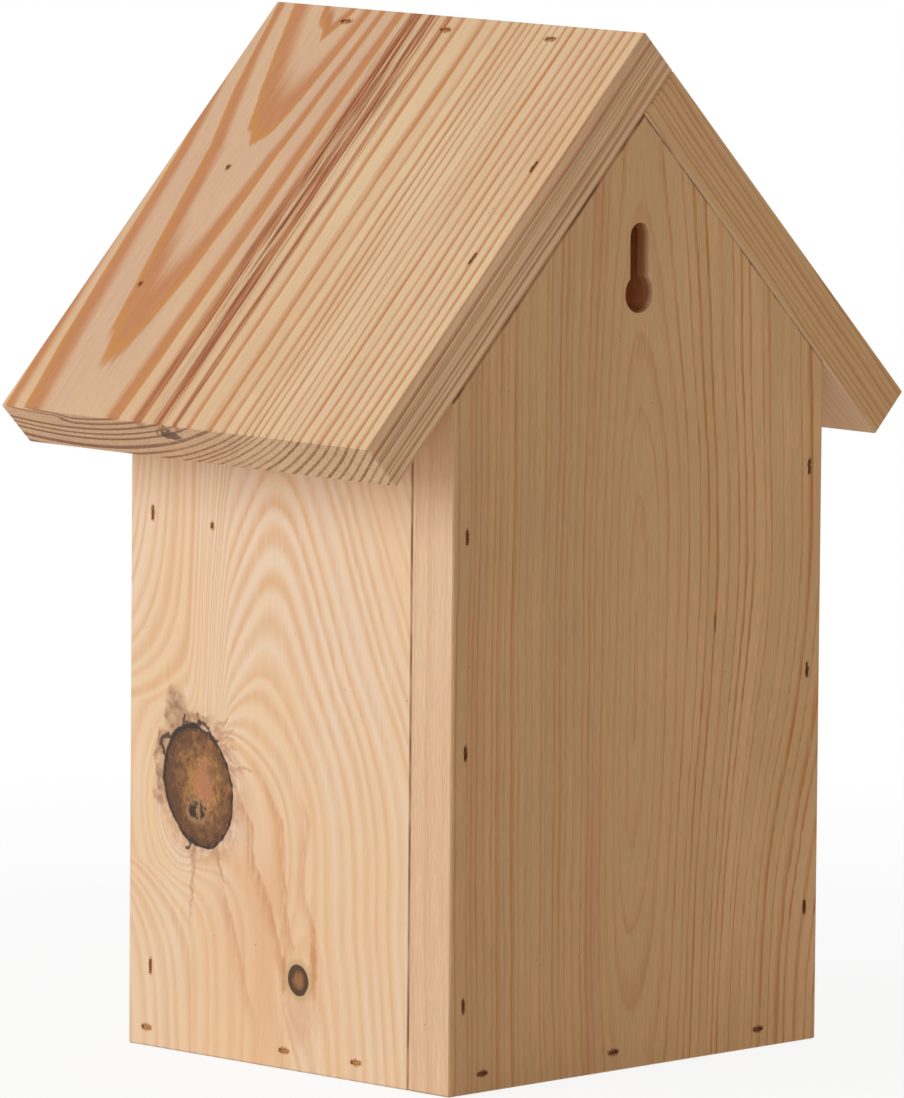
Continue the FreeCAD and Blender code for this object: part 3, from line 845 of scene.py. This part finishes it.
    def strokes(self, n, place, colour, lines, width, taper, fade, paint):
        """The colour with ragged, wavy lines, each from one point of the face to another."""
        ragged = n.stray(place, (1.4, 1.4, 1.4), 3.0, 0.6)
        sway = n.sway(place, (3.4, 3.4, 3.4), 2.0)
        place = n.vector("ADD", place, n.vector("MULTIPLY", sway, (4.0, 0.0, 4.0)))
        ratios = []
        for (across, along), (next_across, next_along) in lines:
            stroke = n.group("Stroke", {"Place": place, "From": (across, 0.0, along),
                                        "To": (next_across, 0.0, next_along)})
            reach = n.mad(stroke["Share"], -taper * width, width)
            ratios.append(n.over(stroke["Distance"], reach))
        return n.paint(colour, n.mad(ragged, 2.4, n.least(*ratios)), fade, paint)

    def flames(self, n, place, colour):
        """Four wavy brown lines that run from the large knot down past the small one."""
        x, _, z = n.split(place)
        sway = n.times(n.stray(place, (12.0, 12.0, 18.0), 2.0), 7.0)
        mottle = n.noise(place, (1.2, 1.2, 7.0), 3.0)
        tall, wide = 120.0, 100.0
        # Each line's places by height and across, then its foot, its top and its strength
        paths = (
            (((0, 76), (30, 71), (42, 66), (51, 63), (63, 57), (75, 55), (85, 49), (110, 34)),
             26.0, 86.0, 0.85),
            (((0, 80), (30, 74), (39, 73), (50, 70), (63, 71), (78, 68), (88, 63), (110, 40)),
             36.0, 90.0, 0.72),
            (((0, 92), (26, 90), (34, 88), (46, 83), (57, 79), (79, 80), (90, 76), (110, 56)),
             36.0, 86.0, 0.5),
            (((0, 62), (17, 56), (25, 53), (41, 48), (56, 43), (64, 40), (110, 36)),
             16.0, 56.0, 0.55))
        for line, foot, top, strength in paths:
            middle = n.curve(n.over(z, tall), [(height / tall, across / wide) for height, across in line])
            away = n.plus(n.mad(middle, -wide, x), sway)
            flame = n.times(
                n.smooth(away, -5.5, 0.0), n.smooth(away, 0.0, 1.2, 1.0, 0.0), n.band(z, foot, top, 8.0),
                n.smooth(mottle, 0.3, 0.6, 0.3 * strength, strength))
            colour = n.blend(flame, colour, srgb(213, 153, 110))
        return colour

    def small_knot(self, n, place, colour):
        """The small knot in its pale ring, with a strip of orange wood on each side and a blush below."""
        knot = n.group("Knot", {"Place": place, "Across": 76.2, "Along": 29.0, "Half width": 4.5,
                                "Half height": 4.9, "Lean": 8.0, "Rough": 0.25})
        ratio = knot["Ratio"]
        mottle = n.noise(place, (1.6, 1.6, 4.0), 3.0, 0.6)
        patches = (
            ((82.8, 34.0, 2.1, 15.0), 1.6, (0.2, 1.1, 0.85), srgb(210, 142, 94)),
            ((69.8, 30.5, 1.3, 9.0), 1.6, (0.2, 1.1, 0.85), srgb(210, 142, 94)),
            ((77.0, 17.0, 9.0, 11.0), 1.2, (0.2, 1.2, 0.5), srgb(222, 166, 126)))
        for ellipse, ragged, fade, paint in patches:
            patch = n.mad(n.minus(mottle, 0.5), ragged, n.mark(place, *ellipse))
            colour = n.paint(colour, patch, fade, paint)
        colour = n.paint(colour, ratio, (1.1, 1.6, 0.75), srgb(206, 172, 122))
        inside = n.tone(self.knot_body(n, place, knot), 0.7)
        colour = n.paint(colour, ratio, (0.97, 1.03, 1.0), inside)
        rim = n.times(n.band(ratio, 0.62, 0.97, 0.1), n.smooth(mottle, 0.3, 0.6, 0.6, 0.95))
        return n.blend(rim, colour, srgb(82, 56, 38))


class BEEHOTEL_OT_back(bpy.types.Operator):
    """Gives the back board browner pine with a long narrow arch up its middle; its face carries a painted
    warm shade
    """
    bl_idname = "bee_hotel.back"
    bl_label = "Back board"

    def execute(self, context):
        settings = context.scene.bee_hotel_wood
        low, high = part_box("back_board")
        board = Board((high.x, high.y, 0), (-1, 0, 0), (0, -1, 0), (0, 0, 1))
        material, n, shader = make_material("back board pine")
        place = board.place(n)
        x, y, z = n.split(place)
        side = board.facing(n, 0)
        # The face is darker and warmer than the edges: browner wood with a painted warm shade
        even = n.tone(settings.shaded_back_early, n.smooth(x, 20.0, 150.0, 0.89, 1.12))
        early = n.blend(side, even, srgb(232, 195, 158))
        late = n.blend(side, settings.shaded_back_late, srgb(212, 164, 122))
        ruddy = n.most(n.band(x, 6.0, 13.0, 4.0), n.band(x, 60.0, 67.0, 3.0))
        tint = n.blend(ruddy, srgb(212, 166, 114), srgb(207, 152, 106))
        contrast = n.plus(n.smooth(x, 84.0, 112.0, 0.0, 0.5), n.smooth(x, 55.0, 72.0, 0.62, 0.48))
        contrast = n.times(contrast, n.smooth(side, 0.0, 1.0, 1.0, 0.7))
        pine = n.group("Pine", {
            "Place": place, "Rings": self.rings(n, place), "Early": early, "Late": late, "Rim": late,
            "Tint": n.blend(side, tint, srgb(228, 184, 146)),
            "Late start": n.smooth(x, 60.0, 110.0, 0.3, 0.5), "Late full": 0.84, "Late end": 0.9,
            "Contrast": contrast, "Uneven": 1.3, "Variety": 0.75, "Comb": 0.3, "Fibre": 1.1,
            "End": board.facing(n, 2)})
        # Painted shade inside the keyhole slot
        colour = self.keyhole(n, place, pine["Colour"])
        # The back's fixings: torn wood, darkened further with painted shade
        colour = board.bruised(n, place, colour, srgb(130, 72, 28), "back_wall_staples",
                               "back_foot_staples")
        dash = n.mark(place, 118.0, 138.0, 0.7, 4.5)
        colour = n.paint(colour, dash, (0.4, 1.1, 0.8), srgb(120, 66, 34))
        # Painted shade in the joints against the walls and under the roof
        joint_shade = n.times(n.smooth(y, 17.3, 17.8, 0.0, 0.8), side)
        colour = n.blend(joint_shade, colour, srgb(138, 84, 50))
        middle = (high.x - low.x) / MM / 2
        slope = n.plus(n.math("ABSOLUTE", n.minus(x, middle)), z)
        under_roof = n.times(n.minus(high.z / MM, slope), SLANT)
        ragged = n.noise(place, (3.0, 3.0, 3.0), 3.0)
        joint_shade = n.smooth(n.minus(under_roof, ragged), -0.3, 0.25, 0.8, 0.0)
        joint_shade = n.times(joint_shade, n.broken(place, 16.0, 0.3))
        colour = n.blend(joint_shade, colour, srgb(98, 60, 32))
        finish_wood("back_board", material, n, shader, pine, colour)
        return {"FINISHED"}

    def rings(self, n, place):
        """Long straight lines either side of a narrow eye, wider apart on the far side."""
        x, y, z = n.split(n.wander(place, 6.0, 10.0, 1.0))
        lean = n.times(n.smooth(x, 88.0, 150.0, 0.0, 22.0), n.smooth(z, 165.0, 10.0))
        offset = n.minus(n.plus(x, lean), 81.7)
        near = n.least(offset, 0.0)
        far = n.most(offset, 0.0)
        across = n.mad(far, 0.68, near)
        height = n.over(n.minus(z, 125.0), 110.0)
        closing = n.math("EXPONENT", n.times(height, height, -1.0))
        width = n.mad(closing, -16.0, 16.0)
        return n.mad(y, 0.2, n.times(n.hypot(across, width), 0.33))

    def keyhole(self, n, place, colour):
        """Painted warm shade on the walls inside the keyhole slot, stronger with depth."""
        deep = n.smooth(n.split(place)[1], 0.4, 2.5, 0.0, 0.85)
        ratio = n.mark(place, 81.7, 252.0, 12.0, 24.0)
        inside = n.times(n.smooth(ratio, 1.0, 1.2, 1.0, 0.0), deep)
        return n.blend(inside, colour, n.stain(colour, srgb(204, 150, 96)))


class BEEHOTEL_OT_inner_boards(bpy.types.Operator):
    """Gives the floor board, the bearers and the nesting block their pine"""
    bl_idname = "bee_hotel.inner_boards"
    bl_label = "Floor, bearers and nesting block"

    def execute(self, context):
        settings = context.scene.bee_hotel_wood
        boards = (      # each with its growth rings' middle, rise, span, climb and depth rate
            ("floor_board", (40.0, 4.0, 20.0, 0.02, 0.25)),
            ("front_bearer", (-20.0, 8.0, 30.0, 0.01, 0.3)),
            ("rear_bearer", (50.0, 8.0, 30.0, 0.01, 0.3)),
            ("nesting_block", (66.0, 8.0, 42.0, 0.024, 0.27)))
        for name, values in boards:
            low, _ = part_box(name)
            upright = name == "nesting_block"
            across, depth = ((0, 0, 1), (0, 1, 0)) if upright else ((0, 1, 0), (0, 0, 1))
            board = Board(low, across, depth, (1, 0, 0))
            material, n, shader = make_material(name.replace("_", " ") + " pine")
            place = board.place(n)
            rings = n.growth(n.wander(place, 9.0, 14.0, 1.6), *values)
            pine = n.group("Pine", {
                "Place": place, "Rings": rings, "Early": settings.wall_early, "Late": settings.wall_late,
                "Rim": srgb(214, 166, 118), "Tint": srgb(232, 196, 158), "Late start": 0.25,
                "Late full": 0.88, "Late end": 0.92, "Contrast": 1.0, "Uneven": 1.0, "Variety": 0.4,
                "Comb": 0.16, "Fibre": 0.45, "End": board.facing(n, 2)})
            colour = pine["Colour"]
            if upright:
                # Painted shade, darker deeper in from the block's front face
                bore_shade = n.smooth(n.split(place)[1], 0.6, 6.0, 0.0, 0.75)
                colour = n.blend(bore_shade, colour, srgb(128, 84, 48))
            finish_wood(name, material, n, shader, pine, colour)
        return {"FINISHED"}


class BEEHOTEL_OT_canes(bpy.types.Operator):
    """Builds the bamboo canes in place of their plain solids"""
    bl_idname = "bee_hotel.canes"
    bl_label = "Bamboo canes"

    def execute(self, context):
        material = self.bamboo()
        for quarter in ("far_left", "left", "right", "far_right"):
            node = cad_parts[quarter + "_canes"]
            mesh = bpy.data.meshes.new(quarter + "_bamboo")
            shape = bmesh.new()
            rim = shape.verts.layers.float.new("cane_rim")
            tone = shape.verts.layers.float.new("cane_tone")
            for cane in self.measured_canes(node):
                self.build_cane(shape, rim, tone, *cane)
            bmesh.ops.recalc_face_normals(shape, faces=shape.faces[:])
            shape.to_mesh(mesh)
            shape.free()
            mesh.polygons.foreach_set("use_smooth", [True] * len(mesh.polygons))
            mesh.set_sharp_from_angle(angle=math.radians(40))
            mesh.materials.append(material)
            piece = bpy.data.objects.new(quarter + "_bamboo", mesh)
            context.scene.collection.objects.link(piece)
            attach(piece, "root")
            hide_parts(quarter + "_canes")
        return {"FINISHED"}

    def measured_canes(self, node):
        """Middle, radius, bore, mouth, bottom of the bore and rear end of each cane in a CAD node."""
        canes = []
        for island in islands(node):
            xs, ys, zs = zip(*island)
            x, z = (min(xs) + max(xs)) / 2, (min(zs) + max(zs)) / 2
            mouth, foot = min(ys), max(ys)
            ring = [math.hypot(p.x - x, p.z - z) for p in island if p.y < mouth + 1e-5]
            inner = [p.y for p in island if math.hypot(p.x - x, p.z - z) < min(ring) * 1.05]
            depth = max(y for y in inner if y < foot - 1e-4)
            canes.append((x, z, max(ring), min(ring), mouth, depth, foot))
        return canes

    def build_cane(self, shape, rim, tone, x, z, radius, bore, mouth, depth, foot):
        """One cane: an eased sawn mouth, a bore with a rounded bottom and a closed rear end."""
        ease = bpy.context.scene.bee_hotel_cane.mouth_ease
        wall = radius - bore
        profile = [
            (0.0, depth - bore * 0.25), (bore * 0.55, depth - bore * 0.12),
            (bore * 0.9, depth - bore * 0.5), (bore, depth - bore), (bore, mouth + ease * 1.6),
            (bore + ease * 0.5, mouth + ease * 0.4), (bore + ease * 1.3, mouth),
            (bore + wall * 0.5, mouth), (radius - ease * 1.2, mouth),
            (radius - ease * 0.35, mouth + ease * 0.35), (radius, mouth + ease * 1.2),
            (radius, mouth + (foot - mouth) * 0.5), (radius, foot - ease), (radius - ease, foot),
            (0.0, foot)]
        before = set(shape.verts)
        verts = [shape.verts.new((x + r, y, z)) for r, y in profile]
        edges = [shape.edges.new(pair) for pair in zip(verts, verts[1:])]
        bmesh.ops.spin(shape, geom=verts + edges, cent=(x, 0, z), axis=(0, 1, 0), angle=2 * math.pi,
                       steps=CANE_SIDES, use_merge=True)
        made = [vert for vert in shape.verts if vert not in before]
        bmesh.ops.remove_doubles(shape, verts=made, dist=1e-7)
        lean = math.sin(x * 4100.0 + z * 7300.0)    # differs from cane to cane
        for vert in shape.verts:
            if vert in before:
                continue
            away = math.hypot(vert.co.x - x, vert.co.z - z)
            turn = math.atan2(vert.co.z - z, vert.co.x - x)
            vert[rim] = min(1.0, max(0.0, (away - bore) / wall))
            vert[tone] = 0.5 + 0.5 * lean
            oval = 0.5 + 0.5 * math.sin(2 * turn + lean * 3)
            lobes = 0.5 + 0.5 * math.sin(5 * turn + lean * 9)
            squeeze = 1.0 - 0.018 * oval - 0.012 * lobes
            vert.co.x = x + (vert.co.x - x) * squeeze
            vert.co.z = z + (vert.co.z - z) * squeeze

    def bamboo(self):
        """Sawn bamboo: bundles of fibre on the ends, a smooth pale skin outside, a dark bore."""
        settings = bpy.context.scene.bee_hotel_cane
        material, n, shader = make_material("bamboo")
        place = n.here_mm()
        rim = n.add("ShaderNodeAttribute", attribute_name="cane_rim").outputs["Fac"]
        tone = n.add("ShaderNodeAttribute", attribute_name="cane_tone").outputs["Fac"]
        sawn = n.square_to((0, 1, 0), 0.5, 0.85)
        bundle = n.smooth(n.cells(place, (1.6, 0.02, 1.6), 0.9)["Distance"], 0.18, 0.4, 1.0, 0.0)
        bundle = n.times(bundle, n.smooth(rim, 0.1, 0.8, 0.15, 1.0))
        patches = n.noise(place, (6.0, 30.0, 6.0), 3.0)
        flesh = n.blend(tone, settings.cane_flesh, srgb(208, 160, 104))
        flesh = n.blend(n.smooth(patches, 0.4, 0.65, 0.0, 0.5), flesh, srgb(214, 170, 118))
        flesh = n.blend(n.smooth(rim, 0.6, 0.95, 0.0, 0.6), flesh, srgb(190, 138, 80))
        flesh = n.blend(n.smooth(rim, 0.0, 0.12, 0.6, 0.0), flesh, srgb(244, 224, 186))
        flesh = n.blend(n.times(bundle, 0.75), flesh, srgb(136, 90, 46))
        grain = n.noise(place, (0.5, 14.0, 0.5), 3.0)
        skin = n.blend(n.smooth(grain, 0.3, 0.7), settings.cane_skin, srgb(200, 150, 88))
        skin = n.blend(n.smooth(patches, 0.45, 0.62, 0.0, 0.6), skin, srgb(178, 128, 74))
        skin = n.blend(n.times(tone, 0.6), skin, srgb(216, 180, 128))
        bore = n.blend(n.smooth(grain, 0.3, 0.7), srgb(204, 160, 104), srgb(154, 108, 62))
        outside = n.blend(n.smooth(rim, 0.35, 0.65), bore, skin)
        n.feed(shader.inputs["Base Color"], n.blend(sawn, outside, flesh))
        n.feed(shader.inputs["Roughness"], n.mad(sawn, 0.3, 0.45))
        x, _, z = n.split(place)
        saw = n.noise(n.join(x, 0.0, z), (3.5, 1.0, 0.5), 3.0)
        relief(n, shader, n.minus(n.times(saw, 0.6), n.times(bundle, 0.5)), CANE_RELIEF)
        return material


class BEEHOTEL_OT_wire(bpy.types.Operator):
    """Gives the staples and brads coated wire, in a copy lightened with painted light and a darker copy
    with painted shade
    """
    bl_idname = "bee_hotel.wire"
    bl_label = "Staples and brads"

    def execute(self, context):
        settings = context.scene.bee_hotel_cane
        # A copy lightened with painted light, and a darker copy with painted shade for the back board
        bright = self.coated("coated wire", settings.wire, srgb(170, 114, 62))
        dark = self.coated("shaded back wire", settings.shaded_back_wire, srgb(82, 46, 20))
        for name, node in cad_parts.items():
            if name.endswith(("staples", "brads")):
                put_on(node, dark if name.startswith("back_") else bright)
        return {"FINISHED"}

    def coated(self, name, clean, worn):
        """Wire with patches of wear in its coat."""
        material, n, shader = make_material(name)
        place = n.here_mm()
        wear = n.noise(place, (0.6, 0.6, 0.6), 3.0)
        n.feed(shader.inputs["Base Color"], n.blend(n.smooth(wear, 0.35, 0.65), clean, worn))
        n.feed(shader.inputs["Roughness"], n.smooth(wear, 0.3, 0.7, 0.38, 0.7))
        return material


class BEEHOTEL_OT_stage(bpy.types.Operator):
    """Makes the floor, the soft light and the camera"""
    bl_idname = "bee_hotel.stage"
    bl_label = "Stage"

    def execute(self, context):
        scene = context.scene
        settings = scene.bee_hotel_stage
        scene.view_settings.view_transform = "Standard"
        self.floor(scene, settings)
        self.world(scene, settings)
        self.lamp(scene, settings)
        self.camera(scene)
        return {"FINISHED"}

    def floor(self, scene, settings):
        shape = bmesh.new()
        bmesh.ops.create_circle(shape, cap_ends=True, segments=96, radius=FLOOR_RADIUS,
                                matrix=Matrix.Translation((0, 0, -FLOOR_DROP)))
        mesh = bpy.data.meshes.new("floor")
        shape.to_mesh(mesh)
        shape.free()
        piece = bpy.data.objects.new("floor", mesh)
        scene.collection.objects.link(piece)
        material, n, shader = make_material("floor")
        shader.inputs["Base Color"].default_value = settings.floor_colour
        shader.inputs["Roughness"].default_value = 0.9
        shader.inputs["Specular IOR Level"].default_value = 0.1
        glow = n.add("ShaderNodeEmission", {"Color": (1, 1, 1, 1), "Strength": 1.0})
        white = n.smooth(n.vector("LENGTH", n.here()), 0.18, 0.7, 0.88, 1.0)
        mix = n.add("ShaderNodeMixShader", {0: n.times(self.seen(n), white)})
        n.feed(mix.inputs[1], shader.outputs[0])
        n.feed(mix.inputs[2], glow.outputs[0])
        touching = n.math("LESS_THAN", n.add("ShaderNodeLightPath").outputs["Ray Length"], MM)
        below = n.add("ShaderNodeNewGeometry").outputs["Backfacing"]
        clear = n.add("ShaderNodeMixShader", {0: n.most(touching, below)})
        n.feed(clear.inputs[1], mix.outputs[0])
        n.feed(clear.inputs[2], n.add("ShaderNodeBsdfTransparent").outputs[0])
        output = next(node for node in n.tree.nodes if node.type == "OUTPUT_MATERIAL")
        n.feed(output.inputs["Surface"], clear.outputs[0])
        mesh.materials.append(material)

    def world(self, scene, settings):
        world = bpy.data.worlds.new("studio")
        world.use_nodes = True
        scene.world = world
        n = Nodes(world.node_tree)
        background = next(node for node in world.node_tree.nodes if node.type == "BACKGROUND")
        background.inputs["Color"].default_value = (1.0, 1.0, 1.0, 1.0)
        n.feed(background.inputs["Strength"], n.smooth(self.seen(n), 0.0, 1.0, settings.sky_level, 1.0))

    def seen(self, n):
        """1 for rays from the camera, straight or by way of gloss or glass, and 0 for light."""
        path = n.add("ShaderNodeLightPath").outputs
        mirrored = n.most(path["Is Glossy Ray"], path["Is Transmission Ray"])
        return n.most(path["Is Camera Ray"], mirrored)

    def lamp(self, scene, settings):
        lamp = bpy.data.lights.new("key", "AREA")
        lamp.shape = "RECTANGLE"
        lamp.size = LAMP_SIZE
        lamp.size_y = LAMP_SIZE
        lamp.energy = settings.key_power
        piece = bpy.data.objects.new("key", lamp)
        scene.collection.objects.link(piece)
        piece.location = LAMP_PLACE
        aim = LAMP_AIM - LAMP_PLACE
        piece.rotation_euler = aim.to_track_quat("-Z", "Y").to_euler()

    def camera(self, scene):
        azimuth, elevation, roll = (math.radians(v) for v in (VIEW_AZIMUTH, VIEW_ELEVATION, VIEW_ROLL))
        back = Vector((math.sin(azimuth) * math.cos(elevation), -math.cos(azimuth) * math.cos(elevation),
                       math.sin(elevation)))
        right = (-back).cross(Vector((0, 0, 1))).normalized()
        up = right.cross(-back)
        eye = VIEW_POINT + back * VIEW_DISTANCE
        tilted_right = right * math.cos(roll) + up * math.sin(roll)
        tilted_up = up * math.cos(roll) - right * math.sin(roll)
        aim = VIEW_POINT + tilted_right * VIEW_OFFSET[0] + tilted_up * VIEW_OFFSET[1]
        back = (eye - aim).normalized()
        right = tilted_up.cross(back).normalized()
        up = back.cross(right)
        turn = Matrix((right, up, back)).transposed().to_4x4()
        data = bpy.data.cameras.new("camera")
        data.lens = VIEW_LENS
        data.sensor_width = SENSOR_WIDTH
        camera = bpy.data.objects.new("camera", data)
        scene.collection.objects.link(camera)
        camera.matrix_world = Matrix.Translation(eye * MM) @ turn
        scene.camera = camera


OPERATORS = (BEEHOTEL_OT_roof, BEEHOTEL_OT_walls, BEEHOTEL_OT_back, BEEHOTEL_OT_inner_boards,
             BEEHOTEL_OT_canes, BEEHOTEL_OT_wire, BEEHOTEL_OT_stage)


class BEEHOTEL_PT_panel(bpy.types.Panel):
    """Lists the steps that dress the house"""
    bl_idname = "BEEHOTEL_PT_panel"
    bl_label = "Bee Hotel"
    bl_space_type = "VIEW_3D"
    bl_region_type = "UI"
    bl_category = "Bee Hotel"

    def draw(self, context):
        for operator in OPERATORS:
            self.layout.operator(operator.bl_idname)
        scene = context.scene
        for group in (scene.bee_hotel_wood, scene.bee_hotel_cane, scene.bee_hotel_stage):
            box = self.layout.box()
            for name in group.__annotations__:
                box.prop(group, name)


CLASSES = (WoodSettings, CaneSettings, StageSettings, *OPERATORS, BEEHOTEL_PT_panel)


def register():
    for item in CLASSES:
        bpy.utils.register_class(item)
    bpy.types.Scene.bee_hotel_wood = bpy.props.PointerProperty(type=WoodSettings)
    bpy.types.Scene.bee_hotel_cane = bpy.props.PointerProperty(type=CaneSettings)
    bpy.types.Scene.bee_hotel_stage = bpy.props.PointerProperty(type=StageSettings)


def unregister():
    for name in ("bee_hotel_wood", "bee_hotel_cane", "bee_hotel_stage"):
        delattr(bpy.types.Scene, name)
    for item in reversed(CLASSES):
        bpy.utils.unregister_class(item)


def main():
    register()
    bpy.ops.bee_hotel.roof()
    bpy.ops.bee_hotel.walls()
    bpy.ops.bee_hotel.back()
    bpy.ops.bee_hotel.inner_boards()
    bpy.ops.bee_hotel.canes()
    bpy.ops.bee_hotel.wire()
    bpy.ops.bee_hotel.stage()


if __name__ == "__main__":
    main()
